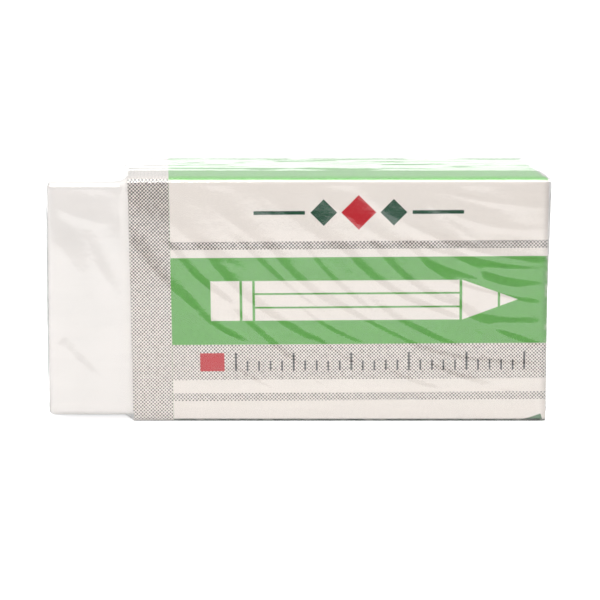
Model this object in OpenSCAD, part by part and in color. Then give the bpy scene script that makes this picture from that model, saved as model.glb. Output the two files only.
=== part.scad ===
// Plastic block eraser in a folded card sleeve, sealed in clear film.
// It stands on its long narrow side. X runs along its length with the bare end of the block at -X,
// the wide front face looks along -Y, and the origin is the middle of the footprint on the table.

/* [Eraser block] */
// Length of the block
block_length = 43; // [38:0.5:60]
// Height of the block, standing on its long narrow side
block_height = 20.4; // [18:0.2:30]
// Thickness of the block, front to back
block_depth = 13.4; // [10:0.2:18]
// Radius of the block's moulded edges
block_edge = 0.4; // [0.2:0.1:1]

/* [Card sleeve] */
// Length of the sleeve, which ends flush with the block at +X
sleeve_length = 35.9; // [20:0.1:41.5]
// Thickness of the card
card = 0.3; // [0.2:0.05:0.5]
// Inside radius of the four folds
fold_inner = 0.15; // [0.05:0.05:0.4]
// Clearance between the block and the card, all round
block_clearance = 0.15; // [0.05:0.05:0.3]
// Width of the glue flap, inside the back panel
flap_width = 8; // [4:0.5:14]
// Distance from the lower back fold up to the back panel's cut edge
seam_setback = 0.1; // [0.05:0.05:1]

/* [Clear film] */
// Thickness of the film
film = 0.05; // [0.03:0.01:0.1]
// Clearance between the film and what it wraps
film_clearance = 0.03; // [0.02:0.01:0.1]
// Length of the slope where the film spans the step from the sleeve to the block
step_span = 0.7; // [0.3:0.1:1.2]
// Reach of the two narrow end tucks, which are folded in first
tuck_reach = 5.5; // [3:0.5:5.5]
// Reach of the two wide end flaps, which overlap each other over the tucks
flap_reach = 8; // [7.5:0.1:8.5]
// Height of the lengthwise seam's lower edge above the table
seam_height = 7; // [2:0.5:13]
// Width of the overlap at the lengthwise seam
seam_lap = 5; // [2:0.5:6]

/* [Hidden] */

// Straight pieces in each rounded corner
arc_steps = 6;

fold_outer = fold_inner + card;
sleeve_height = block_height + 2 * (block_clearance + card);
// The back is two cards thick where the glue flap lies inside it
sleeve_depth = block_depth + 2 * block_clearance + 3 * card;
film_offset = film_clearance + film;
// Inside radius of the film round the sleeve's cut end, small enough to clear the card's square edge
end_inner = 3 * film_clearance;
// The lengthwise seam adds one more thickness of film behind the back panel
overall_depth = sleeve_depth + 2 * film_offset + film;

sleeve_low = [
    block_length / 2 - sleeve_length,
    -overall_depth / 2 + film_offset,
    film_offset
];
sleeve_high = sleeve_low + [sleeve_length, sleeve_depth, sleeve_height];

block_low = [
    -block_length / 2,
    sleeve_low.y + card + block_clearance,
    sleeve_low.z + card + block_clearance
];
block_high = block_low + [block_length, block_depth, block_height];

// Points round a quarter circle, or the bare corner if the radius is zero
function corner(centre, radius, start) = radius > 0
    ? [for (i = [0:arc_steps]) centre + radius * [cos(start + 90 * i / arc_steps), sin(start + 90 * i / arc_steps)]]
    : [centre];

// Rectangle from low to high, whose corner radii run anticlockwise from the low corner
function rounded(low, high, radii) = concat(
    corner([low.x + radii[0], low.y + radii[0]], radii[0], 180),
    corner([high.x - radii[1], low.y + radii[1]], radii[1], 270),
    corner([high.x - radii[2], high.y - radii[2]], radii[2], 0),
    corner([low.x + radii[3], high.y - radii[3]], radii[3], 90)
);

// The same radius at all four corners
function all_round(radius) = [radius, radius, radius, radius];

// Y and Z of a point, as the two axes of a section across the part
function across(point) = [point.y, point.z];

// Extrudes an outline drawn in Y and Z from x = low to x = high
module along_x(low, high) {
    translate([low, 0, 0])
        rotate([90, 0, 90])
            linear_extrude(high - low)
                children();
}

// Extrudes an outline drawn in X and Z from y = low to y = high
module along_y(low, high) {
    translate([0, high, 0])
        rotate([90, 0, 0])
            linear_extrude(high - low)
                children();
}

// Extrudes an outline drawn in X and Y from z = low to z = high
module along_z(low, high) {
    translate([0, 0, low])
        linear_extrude(high - low)
            children();
}

// Box from low to high with rounded long edges, and its own radius round each end
module rounded_box(low, high, long_radius, left_radius, right_radius) {
    ends = [left_radius, right_radius, right_radius, left_radius];
    intersection() {
        along_x(low.x, high.x)
            polygon(rounded(across(low), across(high), all_round(long_radius)));
        along_y(low.y, high.y)
            polygon(rounded([low.x, low.z], [high.x, high.z], ends));
        along_z(low.z, high.z)
            polygon(rounded([low.x, low.y], [high.x, high.y], ends));
    }
}

// Section through the folded card, with the glue flap pressed against the inside of the back panel
module sleeve_section() {
    low = across(sleeve_low);
    high = across(sleeve_high);
    flap_face = high.x - card;
    difference() {
        union() {
            polygon(rounded(low, [flap_face, high.y], [fold_outer, fold_outer, 0, fold_outer]));
            polygon(rounded(
                [flap_face - card, low.y + fold_outer + seam_setback],
                high,
                [0, 0, fold_outer, 0]
            ));
        }
        polygon(rounded(
            low + [card, card],
            [flap_face - card, high.y - card],
            all_round(fold_inner)
        ));
        polygon(rounded(
            [low.x + 2 * card, low.y + flap_width],
            [flap_face, high.y - card],
            [0, 0, fold_inner, 0]
        ));
    }
}

// Slope of the film from the sleeve's cut edge down to the block, on all four sides
module step_bridge(grow) {
    foot = sleeve_low.x - step_span;
    intersection() {
        along_x(foot, sleeve_low.x)
            polygon(rounded(
                across(sleeve_low) - [grow, grow],
                across(sleeve_high) + [grow, grow],
                all_round(fold_outer + grow)
            ));
        along_y(sleeve_low.y - grow, sleeve_high.y + grow)
            polygon([
                [foot, block_low.z - grow],
                [sleeve_low.x, sleeve_low.z - grow],
                [sleeve_low.x, sleeve_high.z + grow],
                [foot, block_high.z + grow]
            ]);
        along_z(sleeve_low.z - grow, sleeve_high.z + grow)
            polygon([
                [foot, block_low.y - grow],
                [sleeve_low.x, sleeve_low.y - grow],
                [sleeve_low.x, sleeve_high.y + grow],
                [foot, block_high.y + grow]
            ]);
    }
}

// Everything inside the film, grown outwards by the distance given
module wrapped_form(grow) {
    rounded_box(
        block_low - [grow, grow, grow],
        [sleeve_low.x + block_edge, block_high.y + grow, block_high.z + grow],
        block_edge + grow,
        block_edge + grow,
        0
    );
    step_bridge(grow);
    rounded_box(
        sleeve_low - [0, grow, grow],
        sleeve_high + [grow, grow, grow],
        fold_outer + grow,
        0,
        end_inner - film_clearance + grow
    );
}

// Trapezium with 45 degree sides, from a base line in Y or Z towards the middle of the end
module end_flap(low, high, reach, base) {
    middle = (low + high) / 2;
    half = (high - low) / 2;
    wide = base == "front" || base == "back";
    turn = base == "front" ? 0 : base == "back" ? 180 : base == "under" ? 90 : 270;
    out = wide ? half.x : half.y;
    side = wide ? half.y : half.x;
    translate(middle)
        rotate(turn)
            polygon([[-out, -side], [reach - out, reach - side], [reach - out, side - reach], [-out, side]]);
}

// Folded film at one end: two tucks, then the back flap, then the front flap over it
module end_folds(face, outward, low, high) {
    layers = [["under", tuck_reach, 1], ["top", tuck_reach, 1], ["back", flap_reach, 2], ["front", flap_reach, 3]];
    for (layer = layers) {
        bottom = face - outward * film / 2;
        top = face + outward * layer[2] * film;
        along_x(min(bottom, top), max(bottom, top))
            end_flap(low, high, layer[1], layer[0]);
    }
}

// Moulded block of white plastic
module eraser_block() {
    color([0.95, 0.93, 0.92])
        rounded_box(block_low, block_high, block_edge, block_edge, block_edge);
}

// Printed card strip, folded four times round the block and glued at the back
module card_sleeve() {
    color([0.48, 0.69, 0.42])
        along_x(sleeve_low.x, sleeve_high.x)
            sleeve_section();
}

// One sheet of clear film, drawn tight, lapped along the back and folded over both ends
module film_wrap() {
    left_flat = [block_edge, block_edge];
    right_flat = [fold_outer, fold_outer];
    color([0.85, 0.92, 0.95, 0.25])
        difference() {
            union() {
                wrapped_form(film_offset);
                intersection() {
                    wrapped_form(film_offset + film);
                    translate([block_low.x + block_edge, 0, seam_height])
                        cube([block_length - 2 * block_edge, overall_depth, seam_lap]);
                }
                end_folds(
                    block_low.x - film_offset,
                    -1,
                    across(block_low) + left_flat,
                    across(block_high) - left_flat
                );
                end_folds(
                    sleeve_high.x + film_offset,
                    1,
                    across(sleeve_low) + right_flat,
                    across(sleeve_high) - right_flat
                );
            }
            wrapped_form(film_clearance);
        }
}

eraser_block();
card_sleeve();
film_wrap();
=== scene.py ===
"""White block eraser in a printed card sleeve, sealed in clear film, as a studio picture."""

import math

import bpy
import numpy as np
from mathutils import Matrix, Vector


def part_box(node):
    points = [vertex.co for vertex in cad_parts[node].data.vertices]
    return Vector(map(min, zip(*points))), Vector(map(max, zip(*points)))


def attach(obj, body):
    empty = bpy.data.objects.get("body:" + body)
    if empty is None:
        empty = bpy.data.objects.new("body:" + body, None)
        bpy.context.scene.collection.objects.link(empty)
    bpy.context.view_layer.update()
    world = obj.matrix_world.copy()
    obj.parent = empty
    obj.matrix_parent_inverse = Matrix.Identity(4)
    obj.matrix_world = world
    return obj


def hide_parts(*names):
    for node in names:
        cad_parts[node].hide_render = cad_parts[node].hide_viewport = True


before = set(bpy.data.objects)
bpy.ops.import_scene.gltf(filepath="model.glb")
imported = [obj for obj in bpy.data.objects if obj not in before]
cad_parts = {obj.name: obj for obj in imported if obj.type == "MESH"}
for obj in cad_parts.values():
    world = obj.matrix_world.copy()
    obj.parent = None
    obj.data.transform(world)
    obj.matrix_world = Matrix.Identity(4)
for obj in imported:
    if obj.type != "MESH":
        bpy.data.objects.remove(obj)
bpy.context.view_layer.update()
MM = 0.001


# Eraser block. One moulded block of white plasticised eraser plastic, solid through, with edges that the
# mould leaves slightly round. It carries the sleeve and stands out of it at the left.
BLOCK_EDGE = 0.4 * MM
BLOCK_SWELL = 0.02 * MM
BLOCK_WHITE = (0.815, 0.777, 0.75)
BLOCK_SHADE = (0.79, 0.757, 0.73)
BLOCK_RUBBED = (0.74, 0.71, 0.69)
BLOCK_RUB_REACH = 0.9
BLOCK_RUB_SHARE = 0.4

block_low, block_high = (np.array(c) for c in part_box("eraser_block"))


def mesh_piece(name, points, quads, material, smooth=True):
    """New mesh object at the origin from an array of points and an array of four-cornered faces."""
    mesh = bpy.data.meshes.new(name)
    mesh.from_pydata(points.tolist(), [], quads.tolist())
    mesh.materials.append(material)
    mesh.polygons.foreach_set("use_smooth", np.full(len(mesh.polygons), smooth))
    mesh.update()
    piece = bpy.data.objects.new(name, mesh)
    bpy.context.scene.collection.objects.link(piece)
    return piece


def grid_quads(rows, columns, first=0, flip=False):
    """Faces of a grid of rows by columns points, numbered row by row from first."""
    number = first + np.arange(rows * columns).reshape(rows, columns)
    around = [number[:-1, :-1], number[:-1, 1:], number[1:, 1:], number[1:, :-1]]
    quads = np.stack(around, axis=-1).reshape(-1, 4)
    return quads[:, ::-1] if flip else quads


def edge_lines(low, high, radius, bends, spans):
    """Places of the grid lines along one side: close together over both rounded edges, even between them."""
    bend = radius * (1 - np.cos(np.linspace(0, math.pi / 2, bends + 1)))
    flat = np.linspace(low + radius, high - radius, spans + 1)[1:-1]
    return np.concatenate([low + bend, flat, high - bend[::-1]])


def rounded_block(low, high, radius, swell):
    """Box surface pulled onto rounded edges: each point q of the sharp box goes to c + r (q - c) / |q - c|,
    where c is q clamped to the box shrunk by the radius r. The faces swell by a product of cosines, zero at
    the edges."""
    low, high = np.array(low), np.array(high)
    lines = [edge_lines(low[k], high[k], radius, 6, 24) for k in range(3)]
    points, quads, count = [], [], 0
    for axis in range(3):
        u_axis, v_axis = (axis + 1) % 3, (axis + 2) % 3
        u, v = np.meshgrid(lines[u_axis], lines[v_axis], indexing="ij")
        for side, flip in ((low[axis], True), (high[axis], False)):
            sharp = np.empty(u.shape + (3,))
            sharp[..., axis], sharp[..., u_axis], sharp[..., v_axis] = side, u, v
            points.append(sharp.reshape(-1, 3))
            quads.append(grid_quads(*u.shape, first=count, flip=not flip))
            count += u.size
    sharp = np.concatenate(points)
    core = np.clip(sharp, low + radius, high - radius)
    outward = sharp - core
    outward /= np.linalg.norm(outward, axis=1, keepdims=True)
    share = np.clip((sharp - (low + high) / 2) / (high - low) * 2, -1, 1)
    bulge = np.prod(np.where(np.abs(share) > 0.999, 1.0, np.cos(share * math.pi / 2)), axis=1, keepdims=True)
    placed = core + radius * outward + swell * bulge * outward
    keys = np.round(sharp / (1e-4 * MM)).astype(np.int64)
    _, kept, again = np.unique(keys, axis=0, return_index=True, return_inverse=True)
    return placed[kept], again.reshape(-1)[np.concatenate(quads)]


def new_material(name):
    """Material with an empty node tree, its output and one Principled shader joined to it."""
    material = bpy.data.materials.new(name)
    material.use_nodes = True
    tree = material.node_tree
    tree.nodes.clear()
    output = tree.nodes.new("ShaderNodeOutputMaterial")
    shader = tree.nodes.new("ShaderNodeBsdfPrincipled")
    tree.links.new(shader.outputs["BSDF"], output.inputs["Surface"])
    return material, tree, shader, output


def feed(tree, socket, value):
    """Joins a socket to another node's output, or writes a plain number or colour on it."""
    if isinstance(value, bpy.types.NodeSocket):
        tree.links.new(value, socket)
    else:
        socket.default_value = value


def maths(tree, operation, *values, clamp=False):
    """Output of a Math node."""
    node = tree.nodes.new("ShaderNodeMath")
    node.operation = operation
    node.use_clamp = clamp
    for socket, value in zip(node.inputs, values):
        feed(tree, socket, value)
    return node.outputs[0]


def blend_colours(tree, share, first, second):
    """Colour that goes from first to second as share goes from 0 to 1."""
    node = tree.nodes.new("ShaderNodeMix")
    node.data_type = "RGBA"
    feed(tree, node.inputs[0], share)
    for socket, value in ((node.inputs[6], first), (node.inputs[7], second)):
        feed(tree, socket, (*value, 1.0) if isinstance(value, tuple) else value)
    return node.outputs[2]


def ramp(tree, value, start, end, low=0.0, high=1.0):
    """Value that goes smoothly from low to high as the given value goes from start to end."""
    node = tree.nodes.new("ShaderNodeMapRange")
    node.interpolation_type = "SMOOTHSTEP"
    for socket, number in zip(node.inputs, (value, start, end, low, high)):
        feed(tree, socket, number)
    return node.outputs[0]


def noise(tree, coordinates, scale, detail=2.0, roughness=0.5):
    """Cloudy value between 0 and 1, with scale clouds to a unit of the coordinates."""
    node = tree.nodes.new("ShaderNodeTexNoise")
    feed(tree, node.inputs["Vector"], coordinates)
    node.inputs["Scale"].default_value = scale
    node.inputs["Detail"].default_value = detail
    node.inputs["Roughness"].default_value = roughness
    return node.outputs["Fac"]


def millimetres(tree):
    """Object coordinates in millimetres."""
    place = tree.nodes.new("ShaderNodeTexCoord")
    scale = tree.nodes.new("ShaderNodeMapping")
    scale.inputs["Scale"].default_value = (1 / MM, 1 / MM, 1 / MM)
    tree.links.new(place.outputs["Object"], scale.inputs["Vector"])
    return scale.outputs["Vector"]


def raised(tree, shader, height, strength, distance):
    """Bump on a shader's normal from a height that varies over the surface."""
    node = tree.nodes.new("ShaderNodeBump")
    node.inputs["Strength"].default_value = strength
    node.inputs["Distance"].default_value = distance
    tree.links.new(height, node.inputs["Height"])
    tree.links.new(node.outputs["Normal"], shader.inputs["Normal"])


def rubbed_edges():
    """Node group shared by block and card: a mask that is 1 on an edge, broken up by small clouds, and gone
    at the given reach from it."""
    group = bpy.data.node_groups.new("rubbed_edges", "ShaderNodeTree")
    kinds = {"Place": "NodeSocketVector", "Distance": "NodeSocketFloat", "Reach": "NodeSocketFloat"}
    for name, kind in kinds.items():
        group.interface.new_socket(name, in_out="INPUT", socket_type=kind)
    group.interface.new_socket("Mask", in_out="OUTPUT", socket_type="NodeSocketFloat")
    given = group.nodes.new("NodeGroupInput")
    result = group.nodes.new("NodeGroupOutput")
    share = maths(group, "DIVIDE", given.outputs["Distance"], given.outputs["Reach"])
    close = ramp(group, share, 0.1, 1.0, 1.0, 0.0)
    patches = ramp(group, noise(group, given.outputs["Place"], 1.3, 4.0, 0.65), 0.42, 0.68)
    group.links.new(maths(group, "MULTIPLY", close, patches), result.inputs["Mask"])
    return group


def rubbed(tree, place, distance, reach):
    """Mask of the rubbed edges, from the distance to the nearest one in millimetres."""
    node = tree.nodes.new("ShaderNodeGroup")
    node.node_tree = bpy.data.node_groups.get("rubbed_edges") or rubbed_edges()
    for name, value in (("Place", place), ("Distance", distance), ("Reach", reach)):
        feed(tree, node.inputs[name], value)
    return node.outputs["Mask"]


def eraser_plastic():
    """Soft white plastic: faint cloudy shading, a fine matt bloom and pinprick pores from the mould."""
    material, tree, shader, _ = new_material("eraser_plastic")
    place = millimetres(tree)
    clouds = noise(tree, place, 0.25, 3.0)
    split = tree.nodes.new("ShaderNodeSeparateXYZ")
    tree.links.new(place, split.inputs[0])
    middle, half = (block_low + block_high) / 2 / MM, (block_high - block_low) / 2 / MM
    depths = []
    for axis in range(3):
        off = maths(tree, "ABSOLUTE", maths(tree, "SUBTRACT", split.outputs[axis], float(middle[axis])))
        depths.append(maths(tree, "SUBTRACT", float(half[axis]), off))
    pairs = [maths(tree, "MAXIMUM", depths[k], depths[(k + 1) % 3]) for k in range(3)]
    from_edge = maths(tree, "MINIMUM", maths(tree, "MINIMUM", pairs[0], pairs[1]), pairs[2])
    worn = maths(tree, "MULTIPLY", rubbed(tree, place, from_edge, BLOCK_RUB_REACH), BLOCK_RUB_SHARE)
    colour = blend_colours(tree, ramp(tree, clouds, 0.35, 0.75), BLOCK_WHITE, BLOCK_SHADE)
    feed(tree, shader.inputs["Base Color"], blend_colours(tree, worn, colour, BLOCK_RUBBED))
    bloom = noise(tree, place, 2.2, 4.0, 0.6)
    feed(tree, shader.inputs["Roughness"], ramp(tree, bloom, 0.3, 0.7, 0.48, 0.66))
    shader.inputs["Specular IOR Level"].default_value = 0.4
    pores = maths(tree, "ADD", noise(tree, place, 9.0, 3.0, 0.6), maths(tree, "MULTIPLY", bloom, 0.6))
    raised(tree, shader, pores, 0.25, 0.02 * MM)
    return material


block_points, block_quads = rounded_block(block_low, block_high, BLOCK_EDGE, BLOCK_SWELL)
block = mesh_piece("eraser_block_moulded", block_points, block_quads, eraser_plastic())
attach(block, "root")
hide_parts("eraser_block")


# Card sleeve. One strip of thin white card, printed on the outside, folded four times round the block and
# glued into a tube: its flap lies inside the back panel, whose cut edge stops just above the lower back fold.
CARD = 0.3 * MM
FOLD_INNER = 0.15 * MM
FLAP_WIDTH = 8.0 * MM
SEAM_SETBACK = 0.1 * MM
GLUE_LINE = 0.01 * MM
CARD_BUCKLE = 0.025 * MM
CUT_SLANT = 0.0226
FOLD_STEPS = 8

sleeve_low, sleeve_high = (np.array(c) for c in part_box("card_sleeve"))


def slant(height):
    """How far a point moves along X, because the strip was cut and folded a little out of square."""
    return CUT_SLANT * ((sleeve_low[2] + sleeve_high[2]) / 2 - height)


def two_sided_quads(rows, columns):
    """Faces of a thin closed sheet: a grid of rows by columns points, the same grid again behind it, with its
    numbers following on, and a rim along each of the four edges."""
    count = rows * columns
    number = np.arange(count).reshape(rows, columns)
    quads = [grid_quads(rows, columns, flip=True), grid_quads(rows, columns, first=count)]
    for edge, flip in ((number[0], False), (number[-1], True), (number[:, 0], True), (number[:, -1], False)):
        rim = np.stack([edge[:-1], edge[1:], edge[1:] + count, edge[:-1] + count], axis=-1)
        quads.append(rim[:, ::-1] if flip else rim)
    return np.concatenate(quads)


def strip_path():
    """Outer and inner line of the folded strip in Y and Z, point for point, with the fold each point is
    nearest to. Flat stretches are straight, and each fold is a quarter circle whose two radii differ by the
    card."""
    front, back = sleeve_low[1], sleeve_high[1]
    foot, top = sleeve_low[2], sleeve_high[2]
    outer_radius = FOLD_INNER + CARD
    flap_back = back - CARD - GLUE_LINE
    folds = [
        (back - outer_radius, top - outer_radius, 0),
        (front + outer_radius, top - outer_radius, 90),
        (front + outer_radius, foot + outer_radius, 180),
        (flap_back - outer_radius, foot + outer_radius, 270),
    ]
    outer = [(back, z) for z in np.linspace(foot + outer_radius + SEAM_SETBACK, top - outer_radius, 20)[:-1]]
    inner = [(back - CARD, z) for _, z in outer]
    for number, (y, z, start) in enumerate(folds):
        turns = np.radians(start + np.linspace(0, 90, FOLD_STEPS + 1))
        outer += [(y + outer_radius * math.cos(t), z + outer_radius * math.sin(t)) for t in turns]
        inner += [(y + FOLD_INNER * math.cos(t), z + FOLD_INNER * math.sin(t)) for t in turns]
        if number < 3:
            following = folds[number + 1]
            angle = math.radians(start + 90)
            away = np.array([math.cos(angle), math.sin(angle)])
            begin, end = np.array([y, z]), np.array(following[:2])
            steps = np.linspace(0, 1, 22)[1:-1, None]
            line = begin + (end - begin) * steps
            outer += (line + outer_radius * away).tolist()
            inner += (line + FOLD_INNER * away).tolist()
    climb = np.linspace(foot + outer_radius, foot + FLAP_WIDTH, 8)[1:]
    outer += [(flap_back, z) for z in climb]
    inner += [(flap_back - CARD, z) for z in climb]
    return np.array(outer), np.array(inner)


def folded_sleeve():
    """The strip's section carried along X. Its panels buckle by a few hundredths of a millimetre: the section
    moves along its own normal by slow sines of the place along the strip and along the sleeve, none at the
    folds."""
    outer, inner = strip_path()
    along = np.linspace(sleeve_low[0], sleeve_high[0], 61)
    normal = (outer - inner) / CARD
    middle = (sleeve_low[1:] + sleeve_high[1:]) / 2
    half = (sleeve_high[1:] - sleeve_low[1:]) / 2
    share = np.clip(np.abs(outer - middle) / half, 0, 1)
    calm = np.cos(share.min(axis=1) * math.pi / 2) ** 2 * (share.max(axis=1) > 0.9)
    calm = np.where(outer[:, 0] > sleeve_high[1] - 2 * CARD, 0.0, calm)
    run, across = along[None, :] / MM, outer[:, 1:2] / MM
    waves = np.sin(run * 0.33 + across * 0.21) + 0.6 * np.sin(run * 0.81 + 1.3)
    shift = (CARD_BUCKLE * calm[:, None] * waves * 0.6)[..., None] * normal[:, None, :]
    grids = []
    for line in (outer, inner):
        grid = np.empty((len(line), len(along), 3))
        grid[..., 0] = along[None, :]
        grid[..., 1:] = line[:, None, :] + shift
        grid[..., 0] += slant(grid[..., 2])
        grids.append(grid.reshape(-1, 3))
    return np.concatenate(grids), two_sided_quads(len(outer), len(along)), len(outer) * len(along)


# Print on the sleeve, in millimetres above the sleeve's foot and from its open end. The bands run all round
# the wide faces, and the narrow sides are green. The whole print sits a little askew on the card.
PRINT_SKEW = -0.0065
BAND_EDGES = {
    # Below the foot edge the lower fold is painted dark, as painted shade
    "foot": 0.23,
    "low_stripe": (1.79, 2.48),
    "grey_band": (3.67, 6.80),
    "green_band": (6.80, 14.43),
    "high_stripe": (15.14, 15.82),
}
GREY_COLUMN = 3.50
SCREEN_PITCH = 0.215
# Where the wide faces' print ends: back from the face over the fold, and down from the top
FOLD_BORDER = (0.42, 0.22)
TOP_BORDER = (0.16, 0.08)
# Rise of the foot line at the far corner, where the green underside shows in painted shade: its span, its
# height and its tip
LIFTED_CORNER = (33.7, 36.2)
CORNER_LIFT = 0.60
CORNER_TIP = (35.45, 35.65)
GREEN_INK = (0.122, 0.367, 0.079)
# Green of the narrow sides, painted brighter than the front's as painted light from above; the underside gets
# it too
SIDE_GREEN_PAINTED_LIT = (0.120, 0.460, 0.070)
DEEP_GREEN_INK = (0.004, 0.062, 0.028)
# Near black and greyer green below the foot line: green print with painted shade where the sleeve meets the
# floor, the greyer one where it lifts at the far corner
SHADED_GREEN = (0.010, 0.026, 0.012)
SHADED_LIFTED_GREEN = (0.120, 0.235, 0.130)
GREY_INK = (0.12, 0.11, 0.105)
DARK_INK = (0.085, 0.082, 0.08)
RED_INK = (0.50, 0.004, 0.014)
CARD_WHITE = (0.81, 0.75, 0.70)
CARD_CORE = (0.84, 0.80, 0.75)
SOFT_EDGE = 0.035
CARD_RUB_REACH = 0.30
CARD_RUB_SHARE = 0.5


def between(tree, value, low, high, soft=SOFT_EDGE):
    """Mask that is 1 where the value lies between low and high, with soft borders."""
    rise = ramp(tree, value, low - soft, low + soft)
    fall = ramp(tree, value, high - soft, high + soft, 1.0, 0.0)
    return maths(tree, "MULTIPLY", rise, fall)


def either(tree, *masks):
    """Largest of several masks."""
    result = masks[0]
    for mask in masks[1:]:
        result = maths(tree, "MAXIMUM", result, mask)
    return result


def printed_card():
    """Card with its print as fields of flat ink, a dot screen for the greys, plain ornaments, paper fibre and
    a bare cut edge. The mesh's own attribute says which side of the card is printed."""
    material, tree, shader, _ = new_material("printed_card")
    place = millimetres(tree)
    split = tree.nodes.new("ShaderNodeSeparateXYZ")
    tree.links.new(place, split.inputs[0])
    level = maths(tree, "SUBTRACT", split.outputs[2], float(sleeve_low[2] / MM))
    half_height = float((sleeve_high[2] - sleeve_low[2]) / 2 / MM)
    squared = maths(tree, "MULTIPLY_ADD", level, CUT_SLANT, split.outputs[0])
    run = maths(tree, "SUBTRACT", squared, float(sleeve_low[0] / MM) + CUT_SLANT * half_height)
    height = maths(tree, "MULTIPLY_ADD", run, PRINT_SKEW, level)
    depth = maths(tree, "ABSOLUTE", split.outputs[1])
    half_depth = float((sleeve_high[1] - sleeve_low[1]) / 2 / MM)

    bled = noise(tree, place, 14.0, 2.0)
    wander = maths(tree, "MULTIPLY_ADD", bled, 0.05, -0.025)
    height = maths(tree, "ADD", height, wander)
    run_edge = maths(tree, "ADD", run, wander)
    wide_face = ramp(tree, depth, half_depth - FOLD_BORDER[0], half_depth - FOLD_BORDER[1])
    past_column = ramp(tree, run_edge, GREY_COLUMN - SOFT_EDGE, GREY_COLUMN + SOFT_EDGE)
    below_top = ramp(tree, level, 2 * half_height - TOP_BORDER[0], 2 * half_height - TOP_BORDER[1], 1.0, 0.0)
    panel = maths(tree, "MULTIPLY", maths(tree, "MULTIPLY", wide_face, past_column), below_top)
    rise = ramp(tree, run, *LIFTED_CORNER, 0.0, CORNER_LIFT)
    lifted = maths(tree, "MULTIPLY", rise, ramp(tree, run, *CORNER_TIP, 1.0, 0.0))
    foot_line = maths(tree, "SUBTRACT", level, lifted)
    above_foot = ramp(tree, foot_line, BAND_EDGES["foot"] - 0.05, BAND_EDGES["foot"] + 0.05)

    fibre = noise(tree, place, 5.0, 5.0, 0.65)
    duller = tuple(0.955 * c for c in CARD_WHITE)
    white = blend_colours(tree, ramp(tree, fibre, 0.3, 0.75), CARD_WHITE, duller)
    inked = ramp(tree, noise(tree, place, 3.0, 4.0, 0.6), 0.3, 0.7)
    green = blend_colours(tree, inked, GREEN_INK, tuple(1.10 * c for c in GREEN_INK))
    painted_lit_green = blend_colours(tree, inked, SIDE_GREEN_PAINTED_LIT, tuple(1.10 * c for c in SIDE_GREEN_PAINTED_LIT))

    diagonal = maths(tree, "ADD", split.outputs[0], split.outputs[2])
    counter = maths(tree, "SUBTRACT", split.outputs[0], split.outputs[2])
    turns = 2 * math.pi / (SCREEN_PITCH * math.sqrt(2))
    dots = maths(
        tree, "ADD",
        maths(tree, "COSINE", maths(tree, "MULTIPLY", diagonal, turns)),
        maths(tree, "COSINE", maths(tree, "MULTIPLY", counter, turns)),
    )
    # On the narrow sides the screen is weakened, a painted highlight for the film's glare there
    dots = maths(tree, "MULTIPLY", dots, maths(tree, "MULTIPLY_ADD", wide_face, 0.8, 0.2))
    grain = maths(tree, "MULTIPLY_ADD", noise(tree, place, 2.6, 2.0), 1.6, -0.8)
    grain = maths(tree, "MULTIPLY", grain, wide_face)
    # The screen grows denser towards the top: painted shade, as the upper front gets less light than the
    # lower
    painted_shade_above = ramp(tree, level, 5.0, 19.0, 0.05, 0.40)
    dots = maths(tree, "ADD", dots, maths(tree, "ADD", grain, painted_shade_above))
    screened = blend_colours(tree, ramp(tree, dots, 0.0, 0.8), white, GREY_INK)

    colour = blend_colours(tree, between(tree, height, *BAND_EDGES["high_stripe"]), white, screened)
    colour = blend_colours(tree, between(tree, height, *BAND_EDGES["low_stripe"]), colour, screened)
    colour = blend_colours(tree, between(tree, height, *BAND_EDGES["grey_band"]), colour, screened)
    colour = blend_colours(tree, between(tree, height, *BAND_EDGES["green_band"]), colour, green)

    colour = blend_colours(tree, pencil_mask(tree, run, height), colour, white)
    rule, gem = ornament_masks(tree, run, height)
    colour = blend_colours(tree, rule, colour, DEEP_GREEN_INK)
    colour = blend_colours(tree, gem, colour, RED_INK)
    ticks, marker = scale_masks(tree, run, height)
    colour = blend_colours(tree, ticks, colour, DARK_INK)
    colour = blend_colours(tree, marker, colour, RED_INK)

    # Painted shade below the foot line, darkest at the bottom, over the green that wraps round the fold
    underside = blend_colours(tree, ramp(tree, level, 0.15, 0.40), SHADED_GREEN, SHADED_LIFTED_GREEN)
    colour = blend_colours(tree, above_foot, underside, colour)
    # The narrow sides take the green painted brighter, as painted light from above
    colour = blend_colours(tree, panel, painted_lit_green, colour)
    # Grey column at the open end: on the narrow sides mostly white, a painted highlight for the film's glare
    column = ramp(tree, run_edge, GREY_COLUMN - SOFT_EDGE, GREY_COLUMN + SOFT_EDGE, 1.0, 0.0)
    faint = blend_colours(tree, maths(tree, "MULTIPLY_ADD", wide_face, 0.75, 0.25), white, screened)
    colour = blend_colours(tree, column, colour, faint)

    over_fold = maths(tree, "MINIMUM", level, maths(tree, "SUBTRACT", 2 * half_height, level))
    from_fold = maths(tree, "MAXIMUM", maths(tree, "SUBTRACT", half_depth, depth), over_fold)
    length = float((sleeve_high[0] - sleeve_low[0]) / MM)
    from_cut = maths(tree, "MINIMUM", run, maths(tree, "SUBTRACT", length, run))
    worn = rubbed(tree, place, maths(tree, "MINIMUM", from_fold, from_cut), CARD_RUB_REACH)
    colour = blend_colours(tree, maths(tree, "MULTIPLY", worn, CARD_RUB_SHARE), colour, CARD_CORE)

    side = tree.nodes.new("ShaderNodeAttribute")
    side.attribute_name = "printed"
    colour = blend_colours(tree, side.outputs["Fac"], CARD_CORE, colour)
    feed(tree, shader.inputs["Base Color"], colour)
    feed(tree, shader.inputs["Roughness"], ramp(tree, fibre, 0.25, 0.75, 0.38, 0.52))
    shader.inputs["Specular IOR Level"].default_value = 0.25
    raised(tree, shader, fibre, 0.12, 0.01 * MM)
    return material


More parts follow.
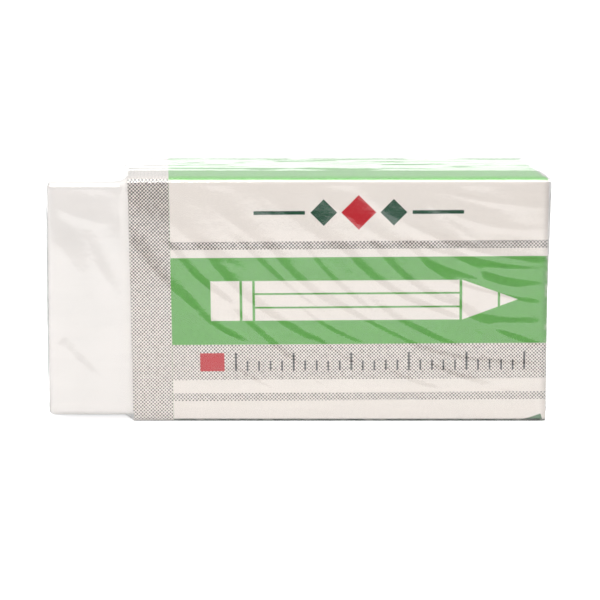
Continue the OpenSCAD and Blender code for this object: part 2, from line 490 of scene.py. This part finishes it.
def pencil_mask(tree, run, height):
    """Plain pencil across the green band: a long bar with a pointed end, cut by two narrow gaps for its
    collar, a gap before the lead and two fine lines along its length."""
    tail, collar, shoulder, point = 6.9, 9.4, 28.6, 33.4
    middle, half = 10.65, 1.75
    off = maths(tree, "ABSOLUTE", maths(tree, "SUBTRACT", height, middle))
    taper = maths(tree, "DIVIDE", maths(tree, "SUBTRACT", point, run), point - shoulder, clamp=True)
    reach = maths(tree, "SUBTRACT", maths(tree, "MULTIPLY", taper, half), off)
    shape = maths(tree, "MULTIPLY", ramp(tree, reach, -0.03, 0.04), between(tree, run, tail, point))
    gaps = either(
        tree,
        between(tree, run, collar, collar + 0.22),
        between(tree, run, collar + 1.1, collar + 1.32),
        between(tree, run, shoulder - 0.25, shoulder - 0.02),
        between(tree, run, point - 1.75, point - 1.55),
        maths(tree, "MULTIPLY", between(tree, off, 0.52, 0.68), between(tree, run, collar + 1.2, shoulder)),
    )
    return maths(tree, "MULTIPLY", shape, maths(tree, "SUBTRACT", 1.0, gaps))


def diamond(tree, run, height, centre, middle, size):
    """Square standing on its corner: the sum of both distances from its centre stays under its half width."""
    across = maths(tree, "ABSOLUTE", maths(tree, "SUBTRACT", run, centre))
    upright = maths(tree, "ABSOLUTE", maths(tree, "SUBTRACT", height, middle))
    return ramp(tree, maths(tree, "ADD", across, upright), size - 0.04, size + 0.04, 1.0, 0.0)


def ornament_masks(tree, run, height):
    """Printer's rule in the upper white field: three diamonds, the middle one red, between two lines."""
    middle, centre = 18.3, 19.7
    left_line = between(tree, run, centre - 9.0, centre - 4.6)
    right_line = between(tree, run, centre + 4.6, centre + 9.0)
    lines = either(tree, left_line, right_line)
    greens = either(
        tree,
        maths(tree, "MULTIPLY", between(tree, height, middle - 0.16, middle + 0.16), lines),
        diamond(tree, run, height, centre - 3.0, middle, 1.15),
        diamond(tree, run, height, centre + 3.0, middle, 1.15),
    )
    return greens, diamond(tree, run, height, centre, middle, 1.5)


def scale_masks(tree, run, height):
    """Plain measuring scale on the grey band: a tick each millimetre, longer each five, after a red mark."""
    start, end, middle = 9.0, 34.2, 5.2
    inside = between(tree, run, start - 0.3, end, 0.01)
    fine = maths(tree, "PINGPONG", maths(tree, "SUBTRACT", run, start), 0.5)
    coarse = maths(tree, "PINGPONG", maths(tree, "SUBTRACT", run, start), 2.5)
    short_height = between(tree, height, middle - 0.75, middle + 0.15)
    full_height = between(tree, height, middle - 0.75, middle + 0.85)
    short = maths(tree, "MULTIPLY", ramp(tree, fine, 0.05, 0.10, 1.0, 0.0), short_height)
    long = maths(tree, "MULTIPLY", ramp(tree, coarse, 0.06, 0.12, 1.0, 0.0), full_height)
    ticks = maths(tree, "MULTIPLY", either(tree, short, long), inside)
    marker = maths(tree, "MULTIPLY", between(tree, run, 5.9, 8.0), full_height)
    return ticks, marker


sleeve_points, sleeve_quads, first_inner = folded_sleeve()
sleeve = mesh_piece("card_sleeve_folded", sleeve_points, sleeve_quads, printed_card())
printed_side = sleeve.data.attributes.new("printed", "FLOAT", "FACE")
is_outer = (sleeve_quads < first_inner).all(axis=1)
printed_side.data.foreach_set("value", is_outer.astype(np.float32))
sleeve.data.polygons.foreach_set("use_smooth", is_outer | (sleeve_quads >= first_inner).all(axis=1))
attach(sleeve, "root")
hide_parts("card_sleeve")


# Clear film. One sheet of thin glossy plastic, wrapped round block and sleeve while warm and drawn tight,
# lapped along the back and folded over both ends. It spans the sleeve's step and creases where it pulls.
FILM = 0.05 * MM
FILM_GAP = 0.03 * MM
STEP_SPAN = 0.7 * MM
FILM_IOR = 1.65
FILM_ROUGHNESS = 0.06
FILM_HAZE = 0.014
LEFT_END_RADIUS = 0.35 * MM
RIGHT_END_RADIUS = 0.10 * MM
CREASE_SEED = 7
SEAM_HEIGHT = 7.0 * MM
SEAM_LAP = 5.0 * MM
TUCK_REACH = 5.5 * MM
FLAP_REACH = 8.0 * MM
# The four flaps of an end in the order of folding, each with its reach and its place above the bare end
FLAPS = (("under", TUCK_REACH, 1), ("top", TUCK_REACH, 1), ("back", FLAP_REACH, 2), ("front", FLAP_REACH, 3))
# Swell of the film over the top: places back from the front edge, and heights there, in millimetres
SWELL_PLACES = (0.0, 3.2, 4.6, 7.0, 12.2, 14.2, 14.8)
SWELL_HEIGHTS = (0.0, 0.25, 0.28, 0.23, 0.08, 0.22, 0.14)
DRIFT_SLOPE = math.radians(-44)

film_low, film_high = (np.array(c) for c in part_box("film_wrap"))


def film_section(along, skin):
    """Sides of the film at each place along X: front, back, foot, top and corner radius, for the film's inner
    (skin 0) or outer (skin 1) face. They go from the block's sides to the sleeve's along a straight slope."""
    off = FILM_GAP + skin * FILM
    share = np.clip((along - (sleeve_low[0] - STEP_SPAN)) / STEP_SPAN, 0, 1)
    sections = []
    boxes = ((block_low, block_high, BLOCK_EDGE), (sleeve_low, sleeve_high, FOLD_INNER + CARD))
    for low, high, radius in boxes:
        sections.append((low[1] - off, high[1] + off, low[2] - off, high[2] + off, radius + off))
    return [bare + (sleeved - bare) * share for bare, sleeved in zip(*sections)]


def section_rows(counts, bends):
    """Parameters round the section, anticlockwise seen from +X: which side or corner, and how far along."""
    rows = []
    for side, count in enumerate(counts):
        rows += [(side, share, 0.0) for share in np.linspace(0, 1, count, endpoint=False)]
        rows += [(side, 1.0, turn) for turn in np.linspace(0, 1, bends, endpoint=False)]
    return np.array(rows)


def section_points(rows, sides, inset):
    """Points and outward directions of the rounded rectangle, for every row and place along X. Sides run up
    the front, back along the top, down the back and forward under the foot, a quarter circle after each."""
    front, back, foot, top, radius = (np.asarray(s)[None, :] for s in sides)
    front, back, foot, top = front + inset, back - inset, foot + inset, top - inset
    radius = np.maximum(radius - inset, 0.02 * MM)
    side, share, turn = (rows[:, k][:, None] for k in range(3))
    near, far, low, high = front + radius, back - radius, foot + radius, top - radius
    on_side = [side == 0, side == 1, side == 2]
    starts_y = np.select(on_side, [near, near, far], far)
    starts_z = np.select(on_side, [low, high, high], low)
    ends_y = np.select(on_side, [near, far, far], near)
    ends_z = np.select(on_side, [high, high, low], low)
    angle = np.radians(180 - 90 * side - 90 * turn)
    away_y, away_z = np.cos(angle), np.sin(angle)
    y = starts_y + (ends_y - starts_y) * share + radius * away_y
    z = starts_z + (ends_z - starts_z) * share + radius * away_z
    return y, z, away_y + 0 * y, away_z + 0 * z


def crease_height(u, v, lines):
    """Sum of ridges: each runs along a slightly bowed line from (u0, v0) to (u1, v1), fades towards its ends
    and falls off across its width as a bell curve."""
    total = np.zeros_like(u)
    for u0, v0, u1, v1, bow, tall, width in lines:
        length = math.hypot(u1 - u0, v1 - v0)
        du, dv = (u1 - u0) / length, (v1 - v0) / length
        along = ((u - u0) * du + (v - v0) * dv) / length
        off = (v - v0) * du - (u - u0) * dv - bow * length * 4 * along * (1 - along)
        fade = np.clip(4 * along * (1 - along), 0, 1) ** 0.7 * (along > 0) * (along < 1)
        total += tall * fade * np.exp(-((off / width) ** 2))
    return total


def ridge_size(random):
    """Height and width of a ridge, in millimetres; its flanks tilt by 10 to 13 degrees."""
    width = random.uniform(0.25, 0.44)
    return width * random.uniform(0.21, 0.27), width


def front_creases(random):
    """Tension lines on a wide face, in millimetres from the sleeve's open end and above the foot: slanting
    ones every few millimetres across the print, longer ones that flatten and fan out towards the far end, and
    a few broad ones over the bare block."""
    lines = []
    # Start above the foot, spacing, steepest slope in degrees and share of the full height, row by row
    rows = ((15.8, 2.9, 47, 1.0), (21.0, 4.6, 44, 0.22), (7.4, 4.2, 40, 0.9), (11.6, 3.3, 42, 1.0))
    for row, (level, spacing, steepest, share) in enumerate(rows):
        for start in np.arange(0.4 + 1.1 * row, 27.0, spacing):
            reach = random.uniform(8.0, 12.5)
            slope = math.radians(steepest - 0.6 * max(start, 0) + random.uniform(-4, 4))
            u, v = start + random.uniform(-0.5, 0.5), level + random.uniform(-0.6, 0.6)
            end = (u + reach * math.cos(slope), v - reach * math.sin(slope))
            tall, wide = ridge_size(random)
            lines.append((u, v, *end, random.uniform(-0.10, -0.03), tall * share, wide))
    for level in (18.6, 16.8, 14.4, 13.3, 12.0, 10.4, 8.6, 5.2, 2.6):
        begin = random.uniform(21.0, 26.0)
        end = (35.9, level + random.uniform(-0.4, 0.4))
        rise = random.uniform(1.4, 3.2)
        bow = random.uniform(-0.08, -0.02)
        tall, wide = ridge_size(random)
        lines.append((begin, level + rise, *end, bow, tall * (1.0 if level < 15 else 0.4), wide))
    # Both ends of each line over the block, its bow, its height and its width
    block_lines = (
        (-5.6, 16.4, -2.3, 7.8, -0.06, 0.10, 0.95),
        (-6.8, 10.4, -2.0, 7.9, -0.02, 0.04, 0.35),
        (-6.2, 7.2, -2.0, 2.5, -0.05, 0.15, 0.85),
        (-6.8, 4.4, -2.2, 2.6, 0.02, 0.06, 0.33),
        (-6.6, 19.0, -1.6, 17.4, -0.05, 0.03, 0.45),
        (-3.6, 17.0, -0.9, 10.2, -0.05, 0.05, 0.50),
    )
    return lines + list(block_lines)


def top_creases(random):
    """Long low waves along the top, nearly parallel to its front edge, broken into lengths."""
    lines = []
    for depth in np.arange(4.6, 14.2, 0.85):
        begin = -7.0 + random.uniform(0, 3)
        while begin < 34:
            reach = random.uniform(4.0, 11.0)
            drift = random.uniform(-0.9, 0.9)
            start = depth + random.uniform(-0.4, 0.4)
            wide = random.uniform(0.30, 0.65)
            tall = wide * random.uniform(0.045, 0.105)
            bow = random.uniform(-0.12, 0.12)
            lines.append((begin, start, begin + reach, start + drift, bow, tall, wide))
            begin += reach * 0.75
    return lines


def film_slant(x, z):
    """Slant of the film: none over the block, the sleeve's own from its open end on, and at the far end only
    where the sleeve passes the block, so that the film always lies outside both."""
    onto_sleeve = np.clip((x - block_low[0]) / (sleeve_low[0] - STEP_SPAN - block_low[0]), 0, 1)
    to_far_end = np.clip((x - sleeve_high[0]) / (10 * MM) + 1, 0, 1)
    whole = slant(z)
    return onto_sleeve * (whole + (np.maximum(whole, 0) - whole) * to_far_end)


def film_tube():
    """The film's long faces: the section carried along X, its outer face shifted by creases, with the last
    columns rolling over the end edges, and rings that close each end. The inner face is the plain section."""
    roll = np.linspace(0, math.pi / 2, 5)[1:]
    left, right = block_low[0] - FILM_GAP, sleeve_high[0] + FILM_GAP
    meshes = []
    # Rows along each side, rows round each corner and columns, finer on the outer face
    for skin, counts, bends, columns in ((1, (124, 84, 60, 20), 6, 210), (0, (24, 16, 24, 16), 3, 64)):
        left_radius, right_radius = LEFT_END_RADIUS + skin * FILM, RIGHT_END_RADIUS + skin * FILM
        begin, end = left - skin * FILM + left_radius, right + skin * FILM - right_radius
        step = np.array([sleeve_low[0] - STEP_SPAN, sleeve_low[0]])
        plain = np.linspace(begin, end, columns)
        plain[np.abs(plain[:, None] - step[None, :]).argmin(axis=0)] = step
        left_roll = (begin - left_radius * np.sin(roll))[::-1]
        along = np.concatenate([left_roll, plain, end + right_radius * np.sin(roll)])
        tucked = 1 - np.cos(roll)
        bend = np.concatenate([left_radius * tucked[::-1], np.zeros(columns), right_radius * tucked])
        rows = section_rows(counts, bends)
        y, z, away_y, away_z = section_points(rows, film_section(along, skin), bend[None, :])
        x = np.broadcast_to(along[None, :], y.shape)
        if skin:
            y, z = crease_outer(rows, x, y, z, away_y, away_z)
        grid = np.stack([x + film_slant(x, z), y, z], axis=-1)
        meshes.append(close_ends(grid))
    (outer, outer_quads), (inner, inner_quads) = meshes
    return np.concatenate([outer, inner]), np.concatenate([outer_quads, inner_quads[:, ::-1] + len(outer)])


def crease_outer(rows, x, y, z, away_y, away_z):
    """Shifts the outer face along its own direction by the creases of the side that each row lies on, less
    and less towards the corners and the ends."""
    random = np.random.RandomState(CREASE_SEED)
    run = (x - sleeve_low[0]) / MM
    level = (z - film_low[2]) / MM
    depth = (y - film_low[1]) / MM
    side, share = rows[:, 0][:, None], rows[:, 1][:, None]
    flat = rows[:, 2][:, None] == 0
    from_corner = np.minimum(share, 1 - share)
    from_end = np.minimum(x - film_low[0], film_high[0] - x)
    calm = np.clip(from_corner / 0.03, 0, 1) * flat
    calm = calm * np.clip(from_end / (0.7 * MM) - 0.4, 0, 1)
    front = crease_height(run, level, front_creases(random))
    front += 0.02 * np.sin(run * 0.55 + level * 0.35) + 0.012 * np.sin(run * 1.15 + level * 1.3 + 0.7)
    top = crease_height(run, depth, top_creases(random)) * np.clip(run / 3 + 1, 0.2, 1)
    swell = np.interp(depth, SWELL_PLACES, SWELL_HEIGHTS) * (side == 1) * flat
    swell = swell * np.clip(run / 1.5 + 1, 0, 1)
    half_lap = SEAM_LAP / MM / 2
    clear_of_seam = np.clip(np.abs(level - SEAM_HEIGHT / MM - half_lap) - half_lap - 0.3, 0, 1)
    back = 0.7 * crease_height(run, level, front_creases(random)) * clear_of_seam
    shift = np.select([side == 0, side == 1, side == 2], [front, top, back], 0.0 * run) * calm
    clear_of_rim = np.clip(from_corner / 0.02, 0, 1) * np.clip(from_end / (0.3 * MM), 0, 1)
    shift = (shift + swell * clear_of_rim) * MM
    return y + shift * away_y, z + shift * away_z


def close_ends(grid):
    """Quads of a tube whose rows run round and whose columns run along, with both ends closed by rings that
    shrink towards a short line in the middle of the end."""
    rows, columns = grid.shape[:2]
    number = np.arange(rows * columns).reshape(rows, columns)
    wrapped = np.concatenate([number, number[:1]], axis=0)
    around = [wrapped[:-1, :-1], wrapped[:-1, 1:], wrapped[1:, 1:], wrapped[1:, :-1]]
    quads = [np.stack(around, axis=-1).reshape(-1, 4)]
    points, count = [grid.reshape(-1, 3)], rows * columns
    for column, flip in ((0, False), (columns - 1, True)):
        loop = grid[:, column]
        centre = (loop.max(axis=0) + loop.min(axis=0)) / 2
        previous = number[:, column]
        for share in (0.75, 0.5, 0.25, 0.04):
            ring = centre + (loop - centre) * share
            ring[:, 0] = loop[:, 0]
            current = count + np.arange(rows)
            points.append(ring)
            count += rows
            faces = np.stack([previous, np.roll(previous, -1), np.roll(current, -1), current], axis=-1)
            quads.append(faces if not flip else faces[:, ::-1])
            previous = current
        half = rows // 2
        a = previous[:half]
        b = previous[::-1][:half]
        faces = np.stack([a[:-1], a[1:], b[1:], b[:-1]], axis=-1)
        quads.append(faces if not flip else faces[:, ::-1])
    return np.concatenate(points), np.concatenate(quads)


def sheet(points, layer):
    """Closed thin sheet from a grid of points and the step from its underside to its face at each of them."""
    both_faces = np.concatenate([(points + layer).reshape(-1, 3), points.reshape(-1, 3)])
    return both_faces, two_sided_quads(*points.shape[:2])


def folded_flap(end, side, reach, place):
    """Flap of film folded over an end from one of its four sides: a trapezium whose slanting edges run in at
    45 degrees, with soft ripples that fan out from its base. The place counts the films that it lies over."""
    if end == "left":
        outward, bare_end, edge = -1, block_low[0], BLOCK_EDGE
        low, high = block_low[1:] + edge, block_high[1:] - edge
    else:
        outward, bare_end, edge = 1, sleeve_high[0], FOLD_INNER + CARD
        low, high = sleeve_low[1:] + edge, sleeve_high[1:] - edge
    middle, half = (low + high) / 2, (high - low) / 2
    upright = side in ("front", "back")
    out, wide = (half[0], half[1]) if upright else (half[1], half[0])
    sign = -1 if side in ("front", "under") else 1
    inward, across = np.meshgrid(np.linspace(0, 1, 14), np.linspace(-1, 1, 43), indexing="ij")
    depth = sign * (out - reach * inward)
    width = across * (wide - reach * inward)
    y, z = (middle[0] + depth, middle[1] + width) if upright else (middle[0] + width, middle[1] + depth)
    ripple = 0.022 * MM * (1 + np.sin(across * 9 + inward * 2.5 + place)) * np.sin(inward * math.pi) ** 0.5
    face = bare_end + outward * (FILM_GAP + FILM)
    x = face + outward * ((place - 1) * FILM + ripple)
    if end == "right":
        x = x + np.maximum(slant(z), 0)
    points = np.stack([x, y, z], axis=-1)
    turned = (sign > 0) == upright
    if turned == (outward > 0):
        points = points[:, ::-1]
    return sheet(points, np.array([outward * FILM, 0, 0]))


def back_seam():
    """Overlap along the back, one more film thick, that follows the film from the block onto the sleeve."""
    along = np.linspace(block_low[0] + BLOCK_EDGE, sleeve_high[0] - RIGHT_END_RADIUS, 180)
    back = film_section(along, 1)[1]
    heights = np.linspace(SEAM_HEIGHT, SEAM_HEIGHT + SEAM_LAP, 16)
    upper_half = heights[:, None] > SEAM_HEIGHT + SEAM_LAP / 2
    z = heights[:, None] + 0.05 * MM * np.sin(along / MM * 0.9)[None, :] * upper_half
    y = np.broadcast_to(back[None, :], z.shape)
    x = np.broadcast_to(along[None, :], z.shape)
    return sheet(np.stack([x + film_slant(x, z), y, z], axis=-1)[:, ::-1], np.array([0, FILM, 0]))


def clear_film():
    """Glossy clear film that lets light straight through. Its two faces together mirror a share of
    2 F / (1 + F), with F from the angle of view, and a faint milky haze lies over it in slanting drifts."""
    material, tree, shader, output = new_material("clear_film")
    place = millimetres(tree)
    turned = tree.nodes.new("ShaderNodeMapping")
    turned.inputs["Rotation"].default_value = (0, DRIFT_SLOPE, 0)
    turned.inputs["Scale"].default_value = (0.12, 0.6, 1.0)
    tree.links.new(place, turned.inputs["Vector"])
    drifts = noise(tree, turned.outputs["Vector"], 0.8, 3.0, 0.55)
    crinkle = noise(tree, place, 1.1, 4.0, 0.6)
    mirror = tree.nodes.new("ShaderNodeFresnel")
    mirror.inputs["IOR"].default_value = FILM_IOR
    bump = tree.nodes.new("ShaderNodeBump")
    bump.inputs["Strength"].default_value = 0.35
    bump.inputs["Distance"].default_value = 0.05 * MM
    tree.links.new(crinkle, bump.inputs["Height"])
    tree.links.new(bump.outputs["Normal"], mirror.inputs["Normal"])
    facing = tree.nodes.new("ShaderNodeNewGeometry")
    outside = maths(tree, "SUBTRACT", 1.0, facing.outputs["Backfacing"])
    doubled = maths(tree, "MULTIPLY", mirror.outputs[0], 2.0)
    both_faces = maths(tree, "DIVIDE", doubled, maths(tree, "ADD", mirror.outputs[0], 1.0))
    share = maths(tree, "MULTIPLY", both_faces, outside, clamp=True)
    clear = tree.nodes.new("ShaderNodeBsdfTransparent")
    gloss = tree.nodes.new("ShaderNodeBsdfGlossy")
    gloss.inputs["Roughness"].default_value = FILM_ROUGHNESS
    tree.links.new(bump.outputs["Normal"], gloss.inputs["Normal"])
    glossy_sheet = tree.nodes.new("ShaderNodeMixShader")
    for socket, source in zip(glossy_sheet.inputs, (share, clear.outputs[0], gloss.outputs[0])):
        tree.links.new(source, socket)
    shader.inputs["Base Color"].default_value = (0.93, 0.94, 0.94, 1.0)
    shader.inputs["Roughness"].default_value = 0.5
    haze = maths(tree, "MULTIPLY", ramp(tree, drifts, 0.38, 0.58, 0.0, FILM_HAZE), outside)
    final = tree.nodes.new("ShaderNodeMixShader")
    for socket, source in zip(final.inputs, (haze, glossy_sheet.outputs[0], shader.outputs[0])):
        tree.links.new(source, socket)
    tree.links.new(final.outputs[0], output.inputs["Surface"])
    return material


film_parts = [film_tube(), back_seam()]
for end in ("left", "right"):
    for side, reach, place in FLAPS:
        film_parts.append(folded_flap(end, side, reach, place))
starts = np.cumsum([0] + [len(points) for points, _ in film_parts])
film_points = np.concatenate([points for points, _ in film_parts])
film_quads = np.concatenate([quads + first for (_, quads), first in zip(film_parts, starts)])
film = mesh_piece("film_drawn_tight", film_points, film_quads, clear_film())
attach(film, "root")
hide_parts("film_wrap")


# Camera. A long lens a hand's breadth and a half away, above the eraser and a little to its left. It looks
# straight back and down, with the lens shifted to the right, so that the eraser's long edges stay level.
CAMERA_PLACE = Vector((-11.541, -173.514, 43.689)) * MM
CAMERA_DIP = math.radians(11.15)
FOCAL_PX = 1965.0
SHIFT_PX = (136.2, -0.6)
PICTURE_PX = 600
SENSOR_MM = 36.0

camera_data = bpy.data.cameras.new("camera")
camera_data.sensor_width = SENSOR_MM
camera_data.lens = FOCAL_PX / PICTURE_PX * SENSOR_MM
camera_data.shift_x, camera_data.shift_y = (offset / PICTURE_PX for offset in SHIFT_PX)
camera_data.clip_start = 0.005
camera = bpy.data.objects.new("camera", camera_data)
camera.location = CAMERA_PLACE
camera.rotation_euler = (math.pi / 2 - CAMERA_DIP, 0.0, 0.0)
bpy.context.scene.collection.objects.link(camera)
bpy.context.scene.camera = camera


# Studio. A pale floor with soft light from a broad lamp overhead, one beside the camera, a faint one close
# over the table and a low one far behind, in a white surround that is darker behind the camera, as in a room.
FLOOR_SIZE = 3.0
FLOOR_WHITE = (0.80, 0.80, 0.80)
FLOOR_FAR = 0.08
FLOOR_GLOW = 0.85
# Along Y in millimetres: where the floor's painted shadow begins, well in front,
# and where its painted glow for the film grows, behind
FLOOR_DARKENS = (-135.0, -88.0)
FLOOR_BRIGHTENS = (0.0, 60.0)
MIRRORED_GLOW = 0.25
CEILING = 0.45


def lay_floor():
    """Pale floor under the eraser, with its shadow. It looks equally white all over, but its colour is
    painted dark well in front of the eraser, a painted shadow of the camera for the film to mirror, and
    behind it gives off a little painted glow that only the film mirrors."""
    half = FLOOR_SIZE / 2
    points = np.array([(-half, -half, 0), (half, -half, 0), (half, half, 0), (-half, half, 0)])
    material, tree, shader, _ = new_material("pale_floor")
    split = tree.nodes.new("ShaderNodeSeparateXYZ")
    tree.links.new(millimetres(tree), split.inputs[0])
    # Painted shadow: the floor's colour goes dark well in front of the eraser
    near = ramp(tree, split.outputs[1], *FLOOR_DARKENS, FLOOR_FAR, 1.0)
    feed(tree, shader.inputs["Base Color"], blend_colours(tree, near, (0.0, 0.0, 0.0), FLOOR_WHITE))
    shader.inputs["Roughness"].default_value = 0.9
    shader.inputs["Specular IOR Level"].default_value = 0.1
    shader.inputs["Emission Color"].default_value = (1, 1, 1, 1)
    path = tree.nodes.new("ShaderNodeLightPath")
    missing = maths(tree, "SUBTRACT", 1 + FLOOR_GLOW, near)
    seen = maths(tree, "MULTIPLY", path.outputs["Is Camera Ray"], missing)
    # Painted glow behind the eraser, seen only in the film's reflections
    behind = ramp(tree, split.outputs[1], *FLOOR_BRIGHTENS, 0.0, MIRRORED_GLOW)
    mirrored = maths(tree, "MULTIPLY", path.outputs["Is Glossy Ray"], behind)
    feed(tree, shader.inputs["Emission Strength"], maths(tree, "ADD", seen, mirrored))
    floor = mesh_piece("floor", points, np.array([[0, 1, 2, 3]]), material, smooth=False)


def hang_lamp(name, place, aim, width, height, power):
    """Rectangular soft lamp at a place, turned to face its aim."""
    data = bpy.data.lights.new(name, "AREA")
    data.shape = "RECTANGLE"
    data.size = width
    data.size_y = height
    data.energy = power
    lamp = bpy.data.objects.new(name, data)
    lamp.location = place
    lamp.rotation_euler = (Vector(aim) - Vector(place)).to_track_quat("-Z", "Y").to_euler()
    bpy.context.scene.collection.objects.link(lamp)


def surround():
    """White to the camera, and to what is mirrored from behind or beside the eraser. It gives off a softer
    light from there and from the ceiling, and hardly any from the camera's side."""
    world = bpy.data.worlds.new("surround")
    world.use_nodes = True
    tree = world.node_tree
    tree.nodes.clear()
    output = tree.nodes.new("ShaderNodeOutputWorld")
    background = tree.nodes.new("ShaderNodeBackground")
    background.inputs["Color"].default_value = (1, 1, 1, 1)
    place = tree.nodes.new("ShaderNodeTexCoord")
    split = tree.nodes.new("ShaderNodeSeparateXYZ")
    tree.links.new(place.outputs["Generated"], split.inputs[0])
    behind = ramp(tree, split.outputs[1], -0.45, 0.15, 0.05, 1.0)
    path = tree.nodes.new("ShaderNodeLightPath")
    mirrored = maths(tree, "MULTIPLY_ADD", path.outputs["Is Glossy Ray"], 0.2, 0.6)
    ceiling = ramp(tree, split.outputs[2], 0.35, 0.80, 0.0, CEILING)
    light = maths(tree, "MAXIMUM", maths(tree, "MULTIPLY", behind, mirrored), ceiling)
    strength = maths(tree, "MAXIMUM", light, path.outputs["Is Camera Ray"])
    tree.links.new(strength, background.inputs["Strength"])
    tree.links.new(background.outputs[0], output.inputs["Surface"])
    bpy.context.scene.world = world


lay_floor()
hang_lamp("lamp_overhead", (0.0, -0.10, 0.42), (0, -0.02, 0), 0.50, 0.50, 1.6)
hang_lamp("lamp_front", (-0.18, -0.42, 0.32), (0, 0, 0.01), 0.40, 0.25, 1.38)
hang_lamp("lamp_table", (0.0, -0.12, 0.16), (0, -0.06, 0), 0.20, 0.10, 0.10)
hang_lamp("lamp_behind", (0.0, 0.60, 0.085), (0, 0, 0.02), 1.10, 0.15, 0.46)
surround()
bpy.context.scene.view_settings.view_transform = "Standard"
bpy.context.scene.cycles.transparent_max_bounces = 24
